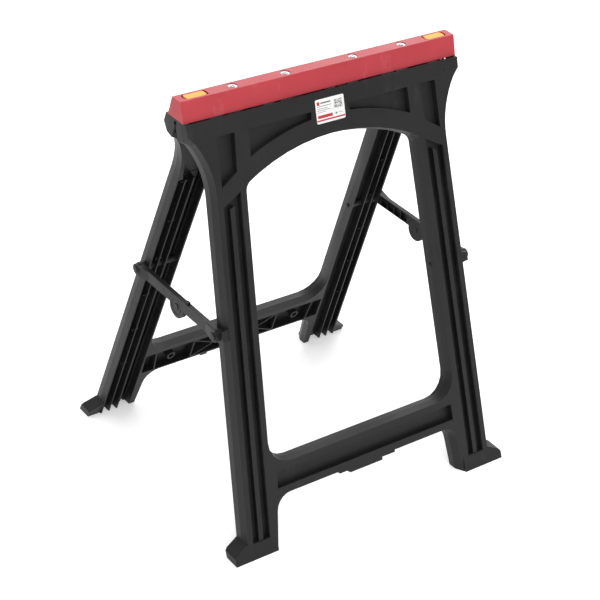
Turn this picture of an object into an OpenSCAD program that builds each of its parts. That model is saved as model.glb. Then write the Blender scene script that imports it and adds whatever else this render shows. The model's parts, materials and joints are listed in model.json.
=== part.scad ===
// Folding sawhorse: two moulded leg frames hinged under a hollow top beam,
// held open by a two-link brace on each side.
// X runs along the beam, +Z is up, the origin is on the floor under the middle of the beam.
// Units are millimetres. The rest pose is the open, standing one.

/* [Overall] */
// Height from the floor to the top of the beam
height = 800; // [700:5:900]
// Length of the top beam
beam_l = 590; // [560:5:640]
// Lean of each leg frame from vertical when open, in degrees
lean = 17.8; // [14:0.2:21]
// Outward run of the leg edges for each unit of length down the leg
splay = 0.049; // [0.03:0.001:0.06]

/* [Top beam] */
// Width of the flat top
beam_top_w = 25; // [22:1:34]
// Width of the beam at its lower edge
beam_bottom_w = 47; // [42:1:52]
// Height of the beam moulding
beam_h = 36.5; // [32:0.5:44]
// Wall of the beam moulding
beam_wall = 3; // [2:0.5:4]
// Length of each grip pad
pad_l = 40; // [30:1:48]
// Width of each grip pad
pad_w = 16; // [12:1:18]
// Distance from the middle of the beam to the middle of a pad
pad_x = 258; // [245:1:262]
// Distance from the middle of the beam to the outer screws
screw_x_outer = 182; // [178:1:186]
// Distance from the middle of the beam to the inner screws
screw_x_inner = 73; // [68:1:80]
// Diameter of a screw's flange
screw_head_d = 17; // [14:0.5:19]

/* [Leg frames] */
// Front-to-back depth of a leg frame moulding
frame_depth = 31; // [28:0.5:34]
// General wall of the leg frame moulding
frame_wall = 3; // [2.5:0.1:3.5]
// Half width of the frame's face at the hinge line, measured at the leg edge
leg_outer_x = 245.4; // [240:0.2:250]
// Half width of the large opening at the hinge line, measured at the leg edge
leg_inner_x = 185.1; // [180:0.2:190]
// Distance down the frame from the hinge line to the crown of the arch
arch_drop = 78.8; // [74:0.2:84]
// Radius of the arch
arch_r = 400; // [380:5:430]
// Distance up the frame from the floor to the top of the crossbar
bar_rise = 159; // [140:1:190]
// Height of the crossbar along the frame
bar_h = 59; // [54:1:68]
// How far the sloping front edge steps in between the rim and the face
edge_draft = 4; // [2:0.5:6]
// Width of a toe beyond the leg
toe_l = 26; // [18:1:32]
// Height of a foot
foot_h = 29; // [24:1:34]
// How far a foot kicks forward at the floor
foot_kick = 4; // [0:0.5:6]

/* [Hinge] */
// Distance from the beam's lower edge down to the hinge line
hinge_drop = 7.5; // [7:0.5:9]
// Diameter of the hinge rod
rod_d = 8; // [6:0.5:10]
// Outer diameter of a hinge barrel
barrel_d = 17; // [15:0.5:20]
// Gap left between the two frames when they are folded together
fold_gap = 0.6; // [0.4:0.1:1.2]
// Radial clearance of a pin in its hole
pin_clear = 0.05; // [0.02:0.01:0.1]

/* [Braces] */
// Distance down the frame from the hinge line to a brace pivot
pivot_drop = 379.4; // [360:0.2:400]
// Distance of a brace pivot in front of the frame's open back
pivot_depth = 12.2; // [11:0.1:13]
// Height of a brace link
link_h = 21; // [18:0.5:24]
// Thickness of a brace link
link_t = 9; // [7.5:0.5:10]
// Height of the folding joint's axis below the two end pivots
knuckle_drop = 12; // [10:0.5:14]
// Radius of the round lobes at the folding joint
lobe_r = 22; // [19:0.5:24]
// Diameter of the brace pins
pin_d = 8; // [6:0.5:9]

/* [Hidden] */
$fn = 48;
eps = 0.01;
far = 2000;

// Colours of the materials
black_plastic = [0.09, 0.09, 0.095];
red_plastic = [0.78, 0.13, 0.16];
pad_orange = [0.95, 0.62, 0.16];
zinc = [0.72, 0.73, 0.75];
label_white = [0.92, 0.92, 0.9];

// Levels
beam_z = height - beam_h;
hinge_z = beam_z - hinge_drop;
frame_top_z = beam_z - 0.3;
half_l = beam_l/2;

// Depth stations of a frame, measured out from the plane where the folded frames meet
w_back = fold_gap/2;
w_face = w_back + frame_depth;
w_rim = w_back + frame_depth/2;
w_skin = w_face - frame_wall;

// Leg lines, as half widths at a distance v below the hinge line (v is negative)
function leg_outer(v) = leg_outer_x - splay*v;
function leg_inner(v) = leg_inner_x - splay*v;
leg_w = leg_outer_x - leg_inner_x;
recess_margin_out = 11;
recess_margin_in = 12;
function recess_outer(v) = leg_outer(v) - recess_margin_out;
function recess_inner(v) = leg_inner(v) + recess_margin_in;
function ridge_mid(v) = (recess_outer(v) + recess_inner(v))/2;

// Distance down the frame, along its face, at which the face meets the floor
floor_v = -(hinge_z + w_face*sin(lean))/cos(lean);

// Crossbar lines
bar_top_v = floor_v + bar_rise;
bar_bottom_v = bar_top_v - bar_h;
bar_panel_depth = 12;

// Upper panel pockets
pocket_top = 33;
pocket_depth = 11;
pocket_draft = 1.4;
band_w = 34;
panel_mid = 42;
panel_gap_in = 175;
panel_gap_out = 204;
panel_end = 238;

// Leg recess
recess_step = 1.6;
groove_depth = 12;
groove_margin = 0.6;
ridge_half = 4.6;
recess_top_v = -136;
recess_top_rise = 20;
recess_bottom_v = floor_v + 28;

// Hinge stations along X for the front frame; the rear frame uses the opposite ones
barrel_l = 26;
barrel_x = [-255, -145, -21, 111, 217];
block_l = 22;
block_x = [-screw_x_outer, -screw_x_inner, screw_x_inner, screw_x_outer];
hinge_room = 15;
rod_half = half_l - 13;
rod_bore_r = rod_d/2 + pin_clear;

// Brace geometry, in the vertical plane beside the legs
pivot_w = w_back + pivot_depth;
pivot_v = -pivot_drop;
pivot_y = pivot_v*sin(lean) - pivot_w*cos(lean);
pivot_z = hinge_z + pivot_v*cos(lean) + pivot_w*sin(lean);
knuckle_z = pivot_z - knuckle_drop;
link_low = knuckle_z + 0.5;
link_top = link_low + link_h;
brace_x0 = leg_outer(pivot_v) + edge_draft + 2.4;
brace_x1 = brace_x0 + link_t;
ear_t = (link_t - 0.6)/3;
tongue_x0 = brace_x0 + ear_t + 0.3;
pin_bore_r = pin_d/2 + pin_clear;
eye_r = link_h/2 + 0.8;
sleeve_r = pin_d/2 + 2.4;
lobe_clear = 0.5;
hub_t = 6.5;
hub_r = 10;

// ---------- plane helpers ----------

function unit(a) = a/norm(a);
function cross2(a, b) = a.x*b.y - a.y*b.x;
function arc(c, r, a0, a1, n) = [for (i = [0:n]) let (a = a0 + (a1 - a0)*i/n) c + r*[cos(a), sin(a)]];
function mirrored(pts) = [for (i = [len(pts) - 1:-1:0]) [-pts[i].x, pts[i].y]];

// Rounds one corner p between its neighbours a and b to radius r
function corner(a, p, b, r, n) =
    let (u = unit(a - p), w = unit(b - p), half = acos(u*w)/2, t = r/tan(half),
         c = p + unit(u + w)*r/sin(half), s = p + u*t - c, e = p + w*t - c,
         sweep = 180 - 2*half, sgn = cross2(s, e) > 0 ? 1 : -1, a0 = atan2(s.y, s.x))
    [for (i = [0:n]) let (q = a0 + sgn*sweep*i/n) c + r*[cos(q), sin(q)]];

// Polygon with its corners rounded: each point is [x, y, radius]
function rounded(pts, n = 5) =
    let (m = len(pts))
    [for (i = [0:m - 1])
        let (p = [pts[i].x, pts[i].y], a = pts[(i + m - 1) % m], b = pts[(i + 1) % m])
        each pts[i].z == 0 ? [p] : corner([a.x, a.y], p, [b.x, b.y], pts[i].z, n)];

// Anticlockwise polygon with every side moved inwards by d
function inset(pts, d) =
    let (m = len(pts))
    [for (i = [0:m - 1])
        let (p = pts[i], e0 = unit(p - pts[(i + m - 1) % m]), e1 = unit(pts[(i + 1) % m] - p),
             n0 = [-e0.y, e0.x], n1 = [-e1.y, e1.x], k = 1 + n0*n1)
        p + (n0 + n1)*d/k];

// Solid through a list of rings, each [polygon, height], point for point
module loft(rings) {
    n = len(rings[0][0]);
    m = len(rings) - 1;
    points = [for (r = rings) each [for (p = r[0]) [p.x, p.y, r[1]]]];
    sides = [for (k = [0:m - 1]) each [for (i = [0:n - 1]) let (a = k*n + i, b = k*n + (i + 1) % n)
        each [[a, a + n, b + n], [a, b + n, b]]]];
    polyhedron(points, concat([[for (i = [0:n - 1]) i]], sides, [[for (i = [n - 1:-1:0]) m*n + i]]));
}

// Prism between two depth stations of a frame
module slab(w0, w1) translate([0, 0, w0]) linear_extrude(w1 - w0) children();

// Places a frame drawn flat (x, distance up from the hinge line, depth) in its open pose
module open_pose() translate([0, 0, hinge_z]) rotate([90 - lean, 0, 0]) children();

// ---------- leg frame ----------

// Right half of the outline, from the foot up, stepped out by e along the leg
shoulder_r = 172;
shoulder_low = -139.7;
function outer_half(e) =
    let (r = shoulder_r - e, tilt = atan(splay),
         c = [leg_outer(shoulder_low) + shoulder_r*cos(tilt), shoulder_low + shoulder_r*sin(tilt)])
    concat([[leg_outer(floor_v - 12) + e, floor_v - 12]], arc(c, r, 180 + tilt, 146.5, 8),
        [[half_l - 1 + e/4, -22 - 2.5*e], [half_l - 1 + e/4, 12]]);
function outline(e) = concat(outer_half(e), mirrored(outer_half(e)));

// Large opening, made smaller by e
function window(e) =
    let (r = arch_r - e, cy = -arch_drop - arch_r, edge = leg_inner(-125) - e,
         a_end = acos(edge/r))
    rounded(concat(
        [[leg_inner(bar_top_v) - e, bar_top_v + e, 45], [edge, cy + r*sin(a_end), 20]],
        [for (i = [1:11]) let (a = a_end + (180 - 2*a_end)*i/12) [r*cos(a), cy + r*sin(a), 0]],
        [[-edge, cy + r*sin(a_end), 20], [e - leg_inner(bar_top_v), bar_top_v + e, 45]]));

// Gap between the feet, under the crossbar, made narrower by e
foot_bevel = 9;
function foot_gap(e) =
    let (x_low = leg_inner(floor_v - 20) - 2 - e, x_up = leg_inner(bar_bottom_v) - 11 - e)
    rounded([[-x_low, floor_v - 20, 0], [x_low, floor_v - 20, 0],
        [x_up, bar_bottom_v, 32], [-x_up, bar_bottom_v, 32]]);

// Line a given distance above the arch, as points from x0 to x1
function above_arch(d, x0, x1, n) =
    [for (i = [0:n]) let (x = x0 + (x1 - x0)*i/n, r = arch_r + d)
        [x, sqrt(r*r - x*x) - arch_drop - arch_r]];

// Pockets in the upper panel, right side
function long_pocket() = concat(above_arch(band_w, panel_mid, panel_gap_in, 7),
    [[panel_gap_in - 2, -pocket_top], [panel_mid - 2, -pocket_top]]);
function tall_pocket() =
    let (low = above_arch(band_w - 4, panel_gap_out + 2, panel_end + 2, 2))
    concat(low, [[panel_end - 1, -pocket_top], [panel_gap_out - 3, -pocket_top]]);

// Leg recess, right side, from its lower end up
function strip(x_in, x_out, low, d_in, d_out) =
    let (top_in = recess_top_v - d_in, top_out = recess_top_v - recess_top_rise - d_out)
    [[x_in - splay*low, low], [x_out - splay*low, low],
     [x_out - splay*top_out, top_out], [x_in - splay*top_in, top_in]];
recess_out0 = leg_outer_x - recess_margin_out;
recess_in0 = leg_inner_x + recess_margin_in;
ridge_mid0 = (recess_out0 + recess_in0)/2;
recess_slope = recess_top_rise/(recess_out0 - recess_in0);
function slant(x, drop) = recess_top_v - drop - recess_slope*(x - recess_in0);
function leg_point(x, v) = [x - splay*v, v];

// Deep groove that runs round the top and both sides of the middle ridge
function groove_outline() =
    let (x0 = recess_in0 + groove_margin, x1 = ridge_mid0 - ridge_half, x2 = ridge_mid0 + ridge_half,
         x3 = recess_out0 - groove_margin, low = recess_bottom_v + groove_margin)
    [leg_point(x0, low), leg_point(x1, low), leg_point(x1, slant(x1, 14)), leg_point(x2, slant(x2, 14)),
     leg_point(x2, low), leg_point(x3, low), leg_point(x3, slant(x3, 1)), leg_point(x0, slant(x0, 1))];

// A drafted pocket sunk from the face to depth d
module sunk(pts, d, draft) loft([[inset(pts, draft), w_face - d], [inset(pts, -draft/d), w_face + 1]]);

module both_sides() {
    children();
    mirror([1, 0, 0]) children();
}

// Outer form of the frame with its openings and sloping edges
over = 0.2;
module frame_body() {
    difference() {
        intersection() {
            loft([[outline(edge_draft), w_back - 4], [outline(edge_draft), w_rim],
                [outline(-edge_draft*over), w_face + over*frame_depth/2]]);
            translate([-far/2, -far/2, w_back]) cube([far, far, frame_depth]);
        }
        loft([[window(edge_draft), w_back - 4], [window(edge_draft), w_rim],
            [window(-edge_draft*over), w_face + over*frame_depth/2]]);
        loft([[foot_gap(foot_bevel), w_back - 4], [foot_gap(foot_bevel), w_rim],
            [foot_gap(-foot_bevel*over), w_face + over*frame_depth/2]]);
    }
}

// Pockets, grooves and panel sunk into the face
module face_pockets() {
    both_sides() {
        sunk(long_pocket(), pocket_depth, pocket_draft);
        sunk(tall_pocket(), pocket_depth, pocket_draft);
        slab(w_face - recess_step, w_face + 1)
            polygon(strip(recess_in0, recess_out0, recess_bottom_v, 0, 0));
        slab(w_face - groove_depth, w_face + 1) polygon(groove_outline());
    }
    slab(w_face - bar_panel_depth, w_face + 1) polygon(bar_panel());
    both_sides() translate([gate_x, -20, w_face - 0.6]) cylinder(d = 7, h = 2);
}
gate_x = half_l - 36.5;
function bar_panel() =
    let (x = leg_inner(bar_top_v) - 13)
    [[-x - 2, bar_bottom_v + 14], [x + 2, bar_bottom_v + 14], [x, bar_top_v - 13], [-x, bar_top_v - 13]];

// Open cells in the back of a leg, between the rim, the two ribs and the inner wall
leg_cell_top = -150;
leg_cell_low = floor_v - 20;
rib_t = 2.4;
rib_out_x = 230;
rib_in_x = 212.4;
groove_back = w_face - groove_depth - frame_wall;
function leg_cell(x0, x1) = [leg_point(x0, leg_cell_low), leg_point(x1, leg_cell_low),
    leg_point(x1, leg_cell_top), leg_point(x0, leg_cell_top)];
module leg_cells() {
    rim_in = leg_outer_x + edge_draft - frame_wall;
    wall_in = leg_inner_x - edge_draft + frame_wall;
    slab(w_back - 1, groove_back) polygon(leg_cell(rib_out_x + rib_t/2, rim_in));
    slab(w_back - 2, w_skin) polygon(leg_cell(recess_out0 + frame_wall, leg_outer_x - frame_wall + 0.6));
    slab(w_back - 1, groove_back) polygon(leg_cell(rib_in_x + rib_t/2, rib_out_x - rib_t/2));
    slab(w_back - 1, groove_back) polygon(leg_cell(wall_in, rib_in_x - rib_t/2));
    slab(w_back - 2, w_skin) polygon(leg_cell(leg_inner_x + frame_wall, recess_in0 - frame_wall));
}

// Small cross tabs that stiffen the outer rib
tab_pitch = 98;
tab_first = 160;
module rib_tabs() {
    for (i = [0:5]) let (v = -tab_first - i*tab_pitch, x = rib_out_x - splay*v)
        translate([x - 7, v - 1, w_back + 3]) cube([14, 2, groove_back - w_back - 2]);
}

// Open cells behind the upper panel
function long_cell(x0, x1) = concat(above_arch(frame_wall + 1, x0, x1, 4), [[x1, -24], [x0, -24]]);
cell_x = [3, 61, 119, 174];
module panel_cells() {
    for (i = [0:2])
        slab(w_back - 1, w_face - pocket_depth - frame_wall)
            polygon(long_cell(cell_x[i] + rib_t/2, cell_x[i + 1] - rib_t/2));
    slab(w_back - 1, w_face - pocket_depth - frame_wall)
        polygon(concat(above_arch(frame_wall + 1.5, 176, 190, 2), [[196, -127], [196, leg_cell_top - 4],
            [244, leg_cell_top - 4], [256, -80], [276, -34], [276, -24], [176, -24]]));
    slab(w_back - 1, w_skin) polygon([[3, -24], [half_l - 4, -24], [half_l - 4, 14], [3, 14]]);
}

// Cells, crossed ribs and bosses behind the crossbar
bar_bay = 100;
boss_x = 150;
boss_v = (bar_top_v + bar_bottom_v)/2;
module bar_cells() {
    lo = bar_bottom_v + frame_wall;
    hi = bar_top_v - edge_draft - frame_wall + 1;
    x_end = leg_inner(boss_v) - edge_draft - 1;
    slab(w_back - 1, w_face - bar_panel_depth - frame_wall) {
        for (x0 = [-bar_bay, 0]) let (x1 = x0 + bar_bay, m = [(x0 + x1)/2, (lo + hi)/2]) {
            polygon(inset([[x0, lo], [x1, lo], m], rib_t/2));
            polygon(inset([[x1, lo], [x1, hi], m], rib_t/2));
            polygon(inset([[x1, hi], [x0, hi], m], rib_t/2));
            polygon(inset([[x0, hi], [x0, lo], m], rib_t/2));
        }
        for (s = [-1, 1]) let (a = s*(bar_bay + rib_t/2), b = s*x_end, c = s*(x_end - 26), d = s*(x_end - 30)) {
            polygon([[a, lo], [d, lo], [c, hi], [a, hi]]);
            polygon([[d + s*rib_t, lo], [b, lo], [b, hi], [c + s*rib_t, hi]]);
        }
    }
}
module bar_bosses() both_sides() translate([boss_x, boss_v, w_back + 0.2]) cylinder(d = 18, h = 18);

// Hinge barrels and the webs that carry them
module barrels() for (x = barrel_x) translate([x, 0, hinge_z]) {
    rotate([0, 90, 0]) cylinder(d = barrel_d, h = barrel_l, center = true);
    translate([-barrel_l/2, -30, -9]) cube([barrel_l, 27, 15]);
}

// Sleeves for the brace pins, and the round bosses that hold the braces off the leg
module pin_sleeves() both_sides() translate([0, pivot_v, pivot_w]) rotate([0, 90, 0]) {
    translate([0, 0, leg_inner(pivot_v) - edge_draft + 1])
        cylinder(r = sleeve_r, h = leg_w + 6);
    translate([0, 0, leg_outer(pivot_v) - 8]) cylinder(d = 17, h = brace_x0 - leg_outer(pivot_v) + 7.7);
}
// Square block round the end of each brace pin, on the side of the leg, with an ear before the link
module side_blocks() both_sides() translate([leg_outer(pivot_v) - 1.5, pivot_v - 10, 0]) {
    ear_w = pivot_w + eye_r + 1;
    translate([0, 0, w_back + 1.5]) cube([brace_x0 - leg_outer(pivot_v) + 0.9, 20, frame_depth - 3]);
    translate([0, 1, ear_w]) cube([brace_x1 - leg_outer(pivot_v), 18, w_face - 1 - ear_w]);
}
module pin_bores() translate([0, pivot_v, pivot_w]) rotate([0, 90, 0])
    cylinder(r = pin_bore_r, h = far, center = true);

// Foot with its toe, drawn in the open pose. It kicks forward as it reaches the floor.
module foot() {
    face_y = -(hinge_z - foot_h)*tan(lean) - w_face/cos(lean);
    back_y = -(hinge_z - foot_h)*tan(lean) - w_back/cos(lean);
    low_shift = -foot_h*tan(lean) - foot_kick;
    x0 = leg_inner(floor_v) - 2.2;
    x1 = leg_outer(floor_v) + edge_draft;
    tip = x1 + toe_l;
    side = [[face_y + low_shift, 0], [back_y + low_shift, 0], [back_y, foot_h], [face_y, foot_h]];
    front = [[x0, 0], [tip, 0], [tip, 13], [tip - 4, 17.5], [x1 - 3, foot_h], [x0, foot_h]];
    intersection() {
        translate([far/2, 0, 0]) rotate([90, 0, -90]) mirror([1, 0, 0])
            linear_extrude(far) polygon(side);
        rotate([90, 0, 0]) linear_extrude(far) polygon(front);
    }
}

// Moulding of a frame, drawn flat
module moulding(blocks) difference() {
    union() {
        difference() {
            union() {
                frame_body();
                rotate([lean - 90, 0, 0]) translate([0, 0, -hinge_z]) both_sides() foot();
            }
            both_sides() leg_cells();
            both_sides() panel_cells();
            bar_cells();
        }
        both_sides() rib_tabs();
        bar_bosses();
        pin_sleeves();
        if (blocks) side_blocks();
    }
    face_pockets();
    both_sides() translate([boss_x, boss_v, w_back - 1]) cylinder(d = 11, h = 14);
}

// Everything of a frame except its fittings
module leg_frame(blocks) difference() {
    union() {
        difference() {
            open_pose() moulding(blocks);
            // Level top under the beam, level bottom on the floor
            translate([-far/2, -far/2, frame_top_z]) cube([far, far, 60]);
            translate([-far/2, -far/2, -60]) cube([far, far, 60]);
            // Nothing of the moulding crosses the middle plane
            translate([-far/2, -w_back, hinge_z - 5]) cube([far, 40, 60]);
            // Room for the other frame's barrels and for the hinge blocks
            for (x = barrel_x) translate([-x, 0, hinge_z]) rotate([0, 90, 0])
                cylinder(r = hinge_room, h = barrel_l + 4, center = true);
            for (x = block_x) translate([x, 0, hinge_z]) rotate([0, 90, 0])
                cylinder(r = hinge_room, h = block_l + 4, center = true);
        }
        barrels();
    }
    translate([0, 0, hinge_z]) rotate([0, 90, 0]) cylinder(r = rod_bore_r, h = far, center = true);
    open_pose() pin_bores();
}

// ---------- nodes ----------

module front_leg_frame() color(black_plastic) leg_frame(true);

module rear_leg_frame() color(black_plastic) {
    rotate([0, 0, 180]) leg_frame(false);
    rotate([0, 0, 180]) open_pose()
        translate([56, bar_bottom_v - 8, w_back + 2]) cube([15, 8.5, 3]);
}

// Beam section from its lower edge up, with its walls moved in by t
function beam_section(t) =
    let (w0 = beam_bottom_w/2 - t, w1 = beam_top_w/2 - t)
    [[-w0, beam_z - (t > 0 ? 1 : 0)], [w0, beam_z - (t > 0 ? 1 : 0)], [w1, height - t], [-w1, height - t]];

pad_gap = 4;
head_sink = 2.4;
flange_t = 1.2;
screw_seat = 2;
pad_pocket = 5;
module slot_outline(l, w, r) {
    x = l/2 - r;
    y = w/2 - r;
    polygon(concat(arc([x, y], r, 0, 90, 6), arc([-x, y], r, 90, 180, 6),
        arc([-x, -y], r, 180, 270, 6), arc([x, -y], r, 270, 360, 6)));
}

module top_beam() color(red_plastic) difference() {
    union() {
        difference() {
            translate([-half_l, 0, 0]) rotate([90, 0, 90]) linear_extrude(beam_l)
                polygon(beam_section(0));
            translate([beam_wall - half_l, 0, 0]) rotate([90, 0, 90])
                linear_extrude(beam_l - 2*beam_wall) polygon(beam_section(beam_wall));
        }
        // Floors of the two pad pockets
        for (s = [-1, 1]) translate([s*pad_x - pad_l/2 - 6, -pad_w/2, height - pad_pocket - 2.5])
            cube([pad_l + 12, pad_w, 4]);
        // Thicker seats under the screws
        for (x = block_x) translate([x - block_l/2, -7.5, height - beam_wall - screw_seat])
            cube([block_l, 15, screw_seat + 1]);
        // Stiffening ribs inside the beam
        for (x = [-125, 0, 125]) translate([x - 1, 0, 0]) rotate([90, 0, 90]) linear_extrude(2)
            polygon([[-12, height - 1], [12, height - 1], [14, height - 14], [-14, height - 14]]);
    }
    for (s = [-1, 1]) translate([s*pad_x, 0, height - pad_pocket]) linear_extrude(far)
        slot_outline(pad_l + 2*pad_gap, pad_w + 0.6, 4);
    for (x = block_x) translate([x, 0, height]) {
        translate([0, 0, -20]) cylinder(d = 4.6, h = 40);
        translate([0, 0, -head_sink]) cylinder(d = screw_head_d + 0.4, h = 5);
    }
}

module grip_pad(s) color(pad_orange) translate([s*pad_x, 0, height - pad_pocket])
    linear_extrude(pad_pocket) slot_outline(pad_l, pad_w, 4);
module grip_pad_left() grip_pad(-1);
module grip_pad_right() grip_pad(1);

// Cross-head screws through the beam into the hinge blocks
module beam_screws() color(zinc) for (x = block_x) translate([x, 0, height]) difference() {
    union() {
        translate([0, 0, -head_sink]) cylinder(d = screw_head_d, h = flange_t);
        translate([0, 0, -head_sink]) cylinder(d = 9, h = head_sink - 0.1);
        translate([0, 0, -26]) cylinder(d = 4.4, h = 26 - head_sink + eps);
    }
    for (a = [0, 90]) rotate([0, 0, a]) translate([-2.6, -0.6, -1]) cube([5.2, 1.2, 4]);
}

// Blocks that hang the beam on the rod
module hinge_blocks() color(black_plastic) for (x = block_x)
    translate([x - block_l/2, 0, 0]) difference() {
        union() {
            translate([0, -7, hinge_z]) cube([block_l, 14, height - beam_wall - screw_seat - hinge_z]);
            translate([0, 0, hinge_z]) rotate([0, 90, 0]) cylinder(d = barrel_d, h = block_l);
        }
        translate([-1, 0, hinge_z]) rotate([0, 90, 0]) cylinder(r = rod_bore_r, h = far);
        translate([block_l/2, 0, height - 27]) cylinder(d = 4.5, h = 30);
    }

module hinge_rod() color(zinc) translate([0, 0, hinge_z]) rotate([0, 90, 0])
    cylinder(d = rod_d, h = 2*rod_half, center = true);

// Push-on clips that keep the rod in place
module rod_clips() color(zinc) for (s = [-1, 1]) translate([s*(rod_half - 4), 0, hinge_z])
    rotate([0, 90, 0]) difference() {
        cylinder(d = rod_d + 7, h = 1.2, center = true);
        cylinder(r = rod_d/2 + 0.01, h = 3, center = true);
    }

// Blank information plate on the front frame
plate_w = 62;
plate_h = 43;
module label_plate() color(label_white) open_pose()
    translate([0, -pocket_top - 3.5, w_face]) linear_extrude(0.4) slot_outline(plate_w, plate_h, 3);

// Clip under the front crossbar that holds the folded frames together
module latch_clip() color(black_plastic) open_pose() translate([0, bar_bottom_v, w_back + 8]) {
    translate([-65, -7, 0]) cube([130, 7, 18]);
    translate([-38, -15.5, 2]) cube([76, 10, 11]);
    translate([-38, -15.5, -3]) cube([76, 4, 5]);
}

// ---------- braces, drawn for the left side (s = -1) or the right side (s = 1) ----------

module along_x(s, x0, x1, r) translate([s > 0 ? x0 : -x1, 0, 0]) rotate([0, 90, 0])
    cylinder(r = r, h = x1 - x0);

// Shaft with a domed head outside the link
module pin_with_head(s, x0, x1) {
    along_x(s, x0, x1, pin_d/2);
    along_x(s, x1, x1 + 1.4, pin_d/2 + 3);
    along_x(s, x1 + 1.4, x1 + 2.2, pin_d/2 + 1.8);
}
pin_inner_x = leg_inner(pivot_v) - edge_draft - 2.5;
at_front = [0, pivot_y, pivot_z];
at_rear = [0, -pivot_y, pivot_z];
module front_pivot_pin(s) color(black_plastic) translate(at_front) pin_with_head(s, pin_inner_x, brace_x1 + hub_t + 0.2);
module rear_pivot_pin(s) color(black_plastic) translate(at_rear) along_x(s, pin_inner_x, brace_x0 - 0.4, pin_d/2);
module rear_pin_cap(s) color(black_plastic) translate(at_rear) pin_with_head(s, brace_x0 + 0.6, brace_x1 + hub_t);
module front_pivot_pin_left() front_pivot_pin(-1);
module front_pivot_pin_right() front_pivot_pin(1);
module rear_pivot_pin_left() rear_pivot_pin(-1);
module rear_pivot_pin_right() rear_pivot_pin(1);
module rear_pin_cap_left() rear_pin_cap(-1);
module rear_pin_cap_right() rear_pin_cap(1);

module knuckle_pin(s) color(black_plastic) translate([0, 0, knuckle_z]) {
    along_x(s, brace_x0 - eps, brace_x1 + eps, pin_d/2);
    along_x(s, brace_x1, brace_x1 + 1.4, pin_d/2 + 2.5);
    along_x(s, brace_x0 - 1, brace_x0, pin_d/2 + 2);
}
module knuckle_pin_left() knuckle_pin(-1);
module knuckle_pin_right() knuckle_pin(1);

// Box from x0 to x1 on side s, between two corners in the plane of the brace
module side_box(s, x0, x1, y0, y1, z0, z1)
    translate([s > 0 ? x0 : -x1, y0, z0]) cube([x1 - x0, y1 - y0, z1 - z0]);

// Straight arm of a link from its eye to the folding joint, hollow on its inner face
module link_arm(s, clear_r) {
    pocket_t = link_t - 2.4;
    difference() {
        union() {
            translate(at_front) along_x(s, brace_x0, brace_x1, eye_r);
            translate(at_front) along_x(s, brace_x1 - 1, brace_x1 + hub_t, hub_r);
            // Web that tapers from the hub into the arm
            translate([0, 0, link_low + 0.6]) linear_extrude(link_h - 1.2)
                polygon([[s*(brace_x1 - 1), pivot_y + 1], [s*(brace_x1 + hub_t - 0.4), pivot_y + 1],
                    [s*(brace_x1 + hub_t - 0.4), pivot_y + 6], [s*(brace_x1 - 1), pivot_y + 38]]);
            side_box(s, brace_x0, brace_x1, pivot_y, 0, link_low, link_top);
        }
        translate([0, 0, knuckle_z]) along_x(s, brace_x0 - 1, brace_x1 + 1, clear_r);
        translate(at_front) along_x(s, brace_x0 - 1, brace_x1 + hub_t + 1, pin_bore_r);
        for (i = [0:3]) let (y = pivot_y + 17 + i*21)
            side_box(s, brace_x0 - 1, brace_x0 + pocket_t, y, y + 18.6, link_low + 2.4, link_top - 2.4);
    }
}

// Link on the front frame: two round ears hold the tongue of the other link
module front_link(s) color(black_plastic) difference() {
    union() {
        link_arm(s, lobe_r - 1 + lobe_clear);
        for (x = [brace_x0, brace_x1 - ear_t]) {
            translate([0, 0, knuckle_z]) along_x(s, x, x + ear_t, lobe_r);
            side_box(s, x, x + ear_t, -lobe_r - 6, 0, link_low, link_top);
        }
        side_box(s, brace_x0 + 1.5, brace_x1 - 1.5, -lobe_r - 12, -lobe_r - 4, link_top - 1, link_top + 4);
    }
    translate([0, 0, knuckle_z]) along_x(s, brace_x0 - 1, brace_x1 + 1, pin_bore_r);
    // Curved groove on the outer ear
    difference() {
        translate([0, 0, knuckle_z]) along_x(s, brace_x1 - 0.9, brace_x1 + 1, lobe_r - 6.5);
        translate([0, 0, knuckle_z]) along_x(s, brace_x1 - 2, brace_x1 + 2, lobe_r - 8.7);
        side_box(s, brace_x1 - 2, brace_x1 + 2, -lobe_r, 4, knuckle_z + 3, knuckle_z + lobe_r);
    }
}
module front_link_left() front_link(-1);
module front_link_right() front_link(1);

// Link on the rear frame: its tongue turns between the ears
module rear_link(s) color(black_plastic) mirror([0, 1, 0]) difference() {
    union() {
        link_arm(s, lobe_r + lobe_clear);
        translate([0, 0, knuckle_z]) along_x(s, tongue_x0, tongue_x0 + ear_t, lobe_r - 1);
        side_box(s, tongue_x0, tongue_x0 + ear_t, -lobe_r - 6, 0, link_low, link_top);
    }
    translate([0, 0, knuckle_z]) along_x(s, brace_x0 - 1, brace_x1 + 1, pin_bore_r);
}
module rear_link_left() rear_link(-1);
module rear_link_right() rear_link(1);

top_beam();
grip_pad_left();
grip_pad_right();
beam_screws();
hinge_blocks();
hinge_rod();
rod_clips();
front_leg_frame();
rear_leg_frame();
label_plate();
latch_clip();
front_pivot_pin_left();
front_pivot_pin_right();
rear_pivot_pin_left();
rear_pivot_pin_right();
front_link_left();
front_link_right();
rear_link_left();
rear_link_right();
knuckle_pin_left();
knuckle_pin_right();
rear_pin_cap_left();
rear_pin_cap_right();
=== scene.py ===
"""A folding sawhorse in black moulded plastic, with a red top beam and folding side braces.

The script sets the camera, gives every piece of the built frame softened edges and a worked
finish, then sets the floor and the lights. Lengths are in metres.
"""
import json
from math import cos, radians, sin

import bmesh
import bpy
from mathutils import Matrix, Vector


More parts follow.
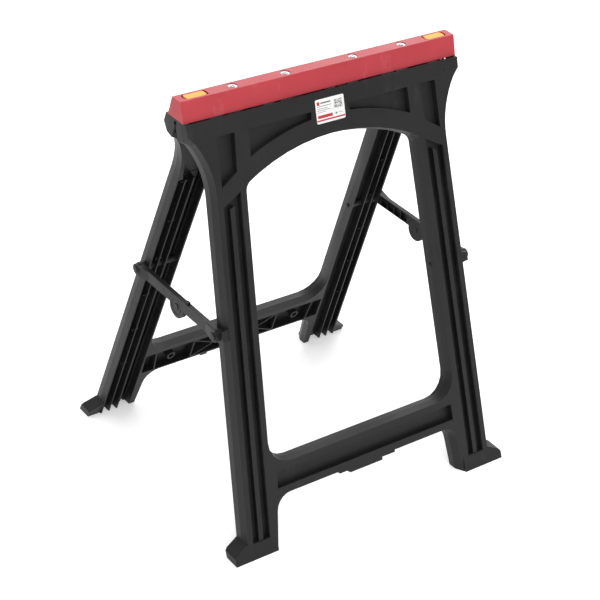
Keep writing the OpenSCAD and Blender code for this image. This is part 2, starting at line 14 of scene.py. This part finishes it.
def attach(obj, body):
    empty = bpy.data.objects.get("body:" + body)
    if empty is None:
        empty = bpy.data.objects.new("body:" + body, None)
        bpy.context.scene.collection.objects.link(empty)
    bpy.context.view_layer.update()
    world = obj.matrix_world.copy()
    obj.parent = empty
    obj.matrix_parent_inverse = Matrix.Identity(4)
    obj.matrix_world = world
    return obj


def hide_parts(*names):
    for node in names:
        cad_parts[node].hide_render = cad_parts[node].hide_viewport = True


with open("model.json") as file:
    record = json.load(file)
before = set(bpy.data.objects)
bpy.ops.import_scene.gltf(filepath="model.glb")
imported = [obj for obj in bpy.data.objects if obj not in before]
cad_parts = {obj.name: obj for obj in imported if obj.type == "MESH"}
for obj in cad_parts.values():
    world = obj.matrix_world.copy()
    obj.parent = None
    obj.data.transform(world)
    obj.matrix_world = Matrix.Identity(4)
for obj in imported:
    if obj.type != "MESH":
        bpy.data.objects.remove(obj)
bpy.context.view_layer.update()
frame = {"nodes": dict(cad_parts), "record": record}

# ---------------------------------------------------------------- camera

CAMERA_PLACE = Vector((-1.7626, -2.2335, 2.1175))
CAMERA_AZIMUTH = radians(-38.27)
CAMERA_RISE = radians(32.40)
CAMERA_ROLL = radians(4.62)
# Focal length and sensor width in millimetres
CAMERA_LENS = 107.2
CAMERA_SENSOR = 36
CAMERA_REACH = 50


def add_camera():
    """Camera aimed by azimuth, rise and roll, as a long lens on a tripod."""
    level = cos(CAMERA_RISE)
    back = Vector((sin(CAMERA_AZIMUTH) * level, -cos(CAMERA_AZIMUTH) * level, sin(CAMERA_RISE)))
    right = Vector((cos(CAMERA_AZIMUTH), sin(CAMERA_AZIMUTH), 0))
    up = back.cross(right)
    x_axis = right * cos(CAMERA_ROLL) + up * sin(CAMERA_ROLL)
    y_axis = up * cos(CAMERA_ROLL) - right * sin(CAMERA_ROLL)
    data = bpy.data.cameras.new("camera")
    data.lens = CAMERA_LENS
    data.sensor_width = CAMERA_SENSOR
    data.clip_end = CAMERA_REACH
    camera = bpy.data.objects.new("camera", data)
    camera.matrix_world = Matrix((
        (x_axis.x, y_axis.x, back.x, CAMERA_PLACE.x),
        (x_axis.y, y_axis.y, back.y, CAMERA_PLACE.y),
        (x_axis.z, y_axis.z, back.z, CAMERA_PLACE.z),
        (0, 0, 0, 1)))
    bpy.context.scene.collection.objects.link(camera)
    bpy.context.scene.camera = camera


add_camera()

# ---------------------------------------------------------------- node helpers

# Numbers of the colour sockets on a mix node
MIX_FACTOR, MIX_FIRST, MIX_SECOND, MIX_RESULT = 0, 6, 7, 2


def new_group(name, inputs, outputs):
    """Empty shader group whose sockets carry numbers: {name: default} in, names out."""
    group = bpy.data.node_groups.new(name, "ShaderNodeTree")
    for label, default in inputs.items():
        socket = group.interface.new_socket(name=label, in_out="INPUT", socket_type="NodeSocketFloat")
        socket.default_value = default
    for label in outputs:
        group.interface.new_socket(name=label, in_out="OUTPUT", socket_type="NodeSocketFloat")
    return group, group.nodes.new("NodeGroupInput"), group.nodes.new("NodeGroupOutput")


def node(tree, kind, inputs=None, **settings):
    """Adds a node, sets its properties, then its inputs by name or number."""
    made = tree.nodes.new(kind)
    for key, value in settings.items():
        setattr(made, key, value)
    for key, value in (inputs or {}).items():
        if isinstance(value, bpy.types.NodeSocket):
            tree.links.new(value, made.inputs[key])
        else:
            made.inputs[key].default_value = value
    return made


def maths(tree, operation, *values, clamp=False):
    """Result of a maths node on numbers or sockets."""
    inputs = dict(enumerate(values))
    return node(tree, "ShaderNodeMath", inputs, operation=operation, use_clamp=clamp).outputs[0]


def remap(tree, value, low, high, to_low=0.0, to_high=1.0):
    """Value carried from one range to another and held at its ends."""
    made = node(tree, "ShaderNodeMapRange", {"Value": value, "From Min": low, "From Max": high,
                                             "To Min": to_low, "To Max": to_high})
    return made.outputs[0]


def mix(tree, factor, first, second):
    """Colour between two colours, by a factor."""
    inputs = {MIX_FACTOR: factor, MIX_FIRST: first, MIX_SECOND: second}
    return node(tree, "ShaderNodeMix", inputs, data_type="RGBA").outputs[MIX_RESULT]


def noise(tree, place, scale, detail, roughness):
    """Cloudy value at a place."""
    made = node(tree, "ShaderNodeTexNoise", {"Vector": place, "Scale": scale,
                                             "Detail": detail, "Roughness": roughness})
    return made.outputs[0]


def own_place(tree):
    """Place on the piece, in the piece's own metres."""
    return node(tree, "ShaderNodeTexCoord").outputs["Object"]


def bump(tree, height, strength, distance):
    """Surface direction tilted by a height."""
    made = node(tree, "ShaderNodeBump", {"Height": height, "Strength": strength, "Distance": distance})
    return made.outputs[0]


def use(tree, group, **values):
    """Places a group with some inputs set; an underscore stands for a space in a socket's name."""
    made = node(tree, "ShaderNodeGroup", node_tree=group)
    for key, value in values.items():
        made.inputs[key.replace("_", " ")].default_value = value
    return made


def colour(r, g, b):
    """Opaque colour."""
    return (r, g, b, 1.0)


def start_material(name):
    """New material with its node tree and its surface node."""
    material = bpy.data.materials.new(name)
    material.use_nodes = True
    tree = material.node_tree
    return material, tree, tree.nodes["Principled BSDF"]


# ---------------------------------------------------------------- shared effects


def build_grain():
    """Moulded surface: fine grain height, wide blotches and thin scuffs."""
    group, taken, given = new_group(
        "moulded_surface", {"Grain Size": 900.0, "Blotch Size": 9.0, "Scuff Size": 30.0},
        ("Grain", "Blotch", "Scuff"))
    place = own_place(group)
    fine = noise(group, place, taken.outputs["Grain Size"], detail=3.0, roughness=0.6)
    wide = noise(group, place, taken.outputs["Blotch Size"], detail=5.0, roughness=0.62)
    stretched = node(group, "ShaderNodeMapping", {"Vector": place, "Rotation": (0.3, 0.2, 0.5),
                                                  "Scale": (1.0, 1.0, 0.12)})
    lines = noise(group, stretched.outputs[0], taken.outputs["Scuff Size"], detail=6.0, roughness=0.7)
    group.links.new(fine, given.inputs["Grain"])
    group.links.new(remap(group, wide, 0.32, 0.68), given.inputs["Blotch"])
    group.links.new(remap(group, lines, 0.58, 0.74), given.inputs["Scuff"])
    return group


def build_wear():
    """Mask that is bright on outer edges and broken up along them."""
    group, taken, given = new_group("edge_wear", {"Width": 0.0015, "Break Up": 120.0}, ("Wear",))
    rounded = node(group, "ShaderNodeBevel", {"Radius": taken.outputs["Width"]}, samples=4)
    flat = node(group, "ShaderNodeNewGeometry")
    across = node(group, "ShaderNodeVectorMath", {0: rounded.outputs[0], 1: flat.outputs["Normal"]},
                  operation="DOT_PRODUCT")
    turned = remap(group, across.outputs["Value"], 0.995, 0.86)
    patches = noise(group, own_place(group), taken.outputs["Break Up"], detail=4.0, roughness=0.65)
    worn = maths(group, "MULTIPLY", turned, remap(group, patches, 0.38, 0.66), clamp=True)
    group.links.new(worn, given.inputs["Wear"])
    return group


GRAIN = build_grain()
WEAR = build_wear()

# ---------------------------------------------------------------- finishes

# How much of the scuffed colour shows in a scuff and on a worn edge
SCUFF_SHARE = 0.35
WEAR_SHARE = 0.7
WEAR_WIDTH = 0.0012
# How much rougher a scuff is, and how strongly the moulded grain shows
SCUFF_DULLS = 0.12
GRAIN_STRENGTH = 0.35


def moulded_plastic(name, base, tint, scuffed, roughness, grain_size, grain_depth, shine):
    """Moulded plastic: base colour drifting to a tint, paler scuffs and worn edges."""
    material, tree, skin = start_material(name)
    surface = use(tree, GRAIN, Grain_Size=grain_size)
    wear = use(tree, WEAR, Width=WEAR_WIDTH)
    body = mix(tree, surface.outputs["Blotch"], colour(*base), colour(*tint))
    marks = maths(tree, "MULTIPLY", surface.outputs["Scuff"], SCUFF_SHARE)
    marked = mix(tree, marks, body, colour(*scuffed))
    edges = maths(tree, "MULTIPLY", wear.outputs["Wear"], WEAR_SHARE)
    tree.links.new(mix(tree, edges, marked, colour(*scuffed)), skin.inputs["Base Color"])
    uneven = remap(tree, surface.outputs["Blotch"], 0.0, 1.0, *roughness)
    dulled = maths(tree, "MULTIPLY", surface.outputs["Scuff"], SCUFF_DULLS)
    tree.links.new(maths(tree, "ADD", uneven, dulled, clamp=True), skin.inputs["Roughness"])
    grain = bump(tree, surface.outputs["Grain"], GRAIN_STRENGTH, grain_depth)
    tree.links.new(grain, skin.inputs["Normal"])
    skin.inputs["Specular IOR Level"].default_value = shine
    return material


BLACK = moulded_plastic(
    "black_moulded_plastic", base=(0.008, 0.008, 0.0085), tint=(0.013, 0.013, 0.0135),
    scuffed=(0.055, 0.055, 0.056), roughness=(0.42, 0.55), grain_size=1400.0, grain_depth=0.0004, shine=0.28)
RED = moulded_plastic(
    "red_moulded_plastic", base=(0.43, 0.03, 0.042), tint=(0.48, 0.04, 0.052),
    scuffed=(0.6, 0.16, 0.18), roughness=(0.42, 0.52), grain_size=1100.0, grain_depth=0.0003, shine=0.4)
ORANGE = moulded_plastic(
    "orange_grip", base=(0.92, 0.4, 0.06), tint=(0.95, 0.48, 0.1),
    scuffed=(0.97, 0.66, 0.35), roughness=(0.5, 0.65), grain_size=800.0, grain_depth=0.0005, shine=0.3)


def zinc_plate():
    """Zinc plating: a cool metal with small spangles and a fine grain."""
    material, tree, skin = start_material("zinc_plate")
    surface = use(tree, GRAIN, Grain_Size=2500.0, Blotch_Size=160.0)
    tone = mix(tree, surface.outputs["Blotch"], colour(0.36, 0.37, 0.38), colour(0.52, 0.53, 0.54))
    tree.links.new(tone, skin.inputs["Base Color"])
    skin.inputs["Metallic"].default_value = 1.0
    uneven = remap(tree, surface.outputs["Blotch"], 0.0, 1.0, to_low=0.28, to_high=0.46)
    tree.links.new(uneven, skin.inputs["Roughness"])
    grain = bump(tree, surface.outputs["Grain"], strength=0.25, distance=0.0001)
    tree.links.new(grain, skin.inputs["Normal"])
    return material


ZINC = zinc_plate()

# ---------------------------------------------------------------- label

# The print hangs from just under the label's top edge
LABEL_TOP = max(point.co.z for point in frame["nodes"]["label_plate"].data.vertices)
PRINT_MARGIN = 0.0001
PRINT_TOP = LABEL_TOP - PRINT_MARGIN
INK = colour(0.16, 0.16, 0.17)
RED_INK = colour(0.5, 0.025, 0.04)
# Printed boxes: left and right from the label's middle, then start and end below the print's top
RED_MARK = (-0.028, -0.022, 0.004, 0.010)
INK_BARS = (
    (-0.020, 0.002, 0.0055, 0.008), (-0.028, 0.003, 0.0115, 0.0125),
    (-0.028, -0.006, 0.0155, 0.0163), (-0.028, 0.001, 0.0185, 0.0193),
    (-0.028, -0.010, 0.0215, 0.0223), (0.010, 0.014, 0.0275, 0.0305),
    (0.016, 0.026, 0.0285, 0.0293))
SPECKLED_BLOCK = (0.009, 0.0265, 0.006, 0.0205)
RED_BARS = ((-0.028, 0.004, 0.027, 0.0322), (-0.0305, 0.0305, 0.0345, 0.0372))
SPECKLES_PER_METRE = 1100.0
SPECKLE_LEVEL = 0.35


def printed_label():
    """Label stock with plain bars for lines of print, a speckled block and red bars."""
    material, tree, skin = start_material("printed_label")
    surface = use(tree, GRAIN, Grain_Size=2000.0, Blotch_Size=40.0)
    stock = mix(tree, surface.outputs["Blotch"], colour(0.78, 0.78, 0.76), colour(0.86, 0.86, 0.85))
    place = own_place(tree)
    parted = node(tree, "ShaderNodeSeparateXYZ", {0: place})
    across, up = parted.outputs[0], parted.outputs[2]

    def within(value, low, high):
        above = maths(tree, "GREATER_THAN", value, low)
        return maths(tree, "MULTIPLY", above, maths(tree, "LESS_THAN", value, high))

    def printed(box):
        left, right, start, end = box
        rows = within(up, PRINT_TOP - end, PRINT_TOP - start)
        return maths(tree, "MULTIPLY", within(across, left, right), rows)

    tone = mix(tree, printed(RED_MARK), stock, RED_INK)
    for bar in INK_BARS:
        tone = mix(tree, printed(bar), tone, INK)
    cells = node(tree, "ShaderNodeTexVoronoi", {"Vector": place, "Scale": SPECKLES_PER_METRE,
                                                "Randomness": 0.2}, distance="CHEBYCHEV")
    shade = node(tree, "ShaderNodeSeparateColor", {0: cells.outputs["Color"]}).outputs[0]
    speckle = maths(tree, "GREATER_THAN", shade, SPECKLE_LEVEL)
    block = maths(tree, "MULTIPLY", printed(SPECKLED_BLOCK), speckle)
    tone = mix(tree, block, tone, INK)
    for bar in RED_BARS:
        tone = mix(tree, printed(bar), tone, RED_INK)
    tree.links.new(tone, skin.inputs["Base Color"])
    uneven = remap(tree, surface.outputs["Blotch"], 0.0, 1.0, to_low=0.3, to_high=0.42)
    tree.links.new(uneven, skin.inputs["Roughness"])
    return material


LABEL = printed_label()

# ---------------------------------------------------------------- pieces

FINISH = {"black_plastic": BLACK, "red_plastic": RED, "pad_orange": ORANGE, "zinc": ZINC,
          "label_white": LABEL}
SLOT_OF = {part["node"]: part["material_slot"] for part in frame["record"]["subparts"]}
BODY_OF = {name: body for body, names in frame["record"]["behaviour"]["bodies"].items() for name in names}

# Corners closer than this are one corner, and faces flatter than this are one face
MERGE_DISTANCE = 1e-5
FLAT_ANGLE = radians(1)
# Edges that turn more than this are rounded, in this many steps
SHARP_ANGLE = radians(32)
EDGE_STEPS = 2
# Widths of the rounding on the large mouldings, and on everything else
EDGE_WIDTH = {"front_leg_frame": 0.0009, "rear_leg_frame": 0.0009, "top_beam": 0.0012}
SMALL_EDGE_WIDTH = 0.0004
# How much the large faces outweigh the rounding when the shading is evened out
LARGE_FACE_WEIGHT = 100


def softened(name, width):
    """Copy of a built node with its doubles merged and its edges rounded, standing for that node."""
    source = frame["nodes"][name]
    work = bmesh.new()
    work.from_mesh(source.data)
    bmesh.ops.remove_doubles(work, verts=work.verts, dist=MERGE_DISTANCE)
    bmesh.ops.dissolve_degenerate(work, dist=MERGE_DISTANCE, edges=work.edges)
    bmesh.ops.dissolve_limit(work, angle_limit=FLAT_ANGLE, verts=work.verts, edges=work.edges)
    mesh = bpy.data.meshes.new(name + "_finished")
    work.to_mesh(mesh)
    work.free()
    piece = bpy.data.objects.new(name + "_finished", mesh)
    bpy.context.scene.collection.objects.link(piece)
    mesh.materials.append(FINISH[SLOT_OF[name]])
    edge = piece.modifiers.new("edges", "BEVEL")
    edge.width = width
    edge.segments = EDGE_STEPS
    edge.limit_method = "ANGLE"
    edge.angle_limit = SHARP_ANGLE
    edge.use_clamp_overlap = True
    mesh.shade_smooth()
    mesh.set_sharp_from_angle(angle=SHARP_ANGLE)
    even = piece.modifiers.new("even_faces", "WEIGHTED_NORMAL")
    even.weight = LARGE_FACE_WEIGHT
    even.keep_sharp = True
    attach(piece, BODY_OF[name])
    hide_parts(name)


for name in SLOT_OF:
    softened(name, EDGE_WIDTH.get(name, SMALL_EDGE_WIDTH))

# ---------------------------------------------------------------- floor and light

FLOOR_REACH = 8
FLOOR_GLOW = 0.35
STUDIO_GLOW = 0.68
WHITE = colour(1.0, 1.0, 1.0)
# Name, place, aim, side and power in watts of each soft light
LIGHTS = (
    ("key", (-1.4, -3.4, 2.6), (0, 0, 0.4), 2.6, 46),
    ("overhead", (0.3, 0.2, 4.0), (0, 0, 0), 3.0, 50),
    ("rear", (2.4, 3.0, 2.6), (0, 0, 0.6), 3.0, 72))


def add_floor():
    """Pale floor that glows a little, so that it fades into the studio."""
    work = bmesh.new()
    bmesh.ops.create_grid(work, x_segments=1, y_segments=1, size=FLOOR_REACH)
    mesh = bpy.data.meshes.new("floor")
    work.to_mesh(mesh)
    work.free()
    floor = bpy.data.objects.new("floor", mesh)
    bpy.context.scene.collection.objects.link(floor)
    material, tree, skin = start_material("pale_floor")
    skin.inputs["Base Color"].default_value = colour(0.95, 0.95, 0.95)
    skin.inputs["Roughness"].default_value = 0.9
    skin.inputs["Emission Color"].default_value = WHITE
    skin.inputs["Emission Strength"].default_value = FLOOR_GLOW
    mesh.materials.append(material)


def add_studio():
    """Even white light from all round, shown without a film curve."""
    world = bpy.data.worlds.new("studio")
    world.use_nodes = True
    sky = world.node_tree.nodes["Background"]
    sky.inputs["Color"].default_value = WHITE
    sky.inputs["Strength"].default_value = STUDIO_GLOW
    bpy.context.scene.world = world
    bpy.context.scene.view_settings.view_transform = "Standard"


def add_soft_light(name, place, aim, side, power):
    """Square soft light at a place, turned to an aim."""
    data = bpy.data.lights.new(name, "AREA")
    data.shape = "SQUARE"
    data.size = side
    data.energy = power
    light = bpy.data.objects.new(name, data)
    light.location = place
    light.rotation_euler = (Vector(aim) - Vector(place)).to_track_quat("-Z", "Y").to_euler()
    bpy.context.scene.collection.objects.link(light)


add_floor()
add_studio()
for light in LIGHTS:
    add_soft_light(*light)
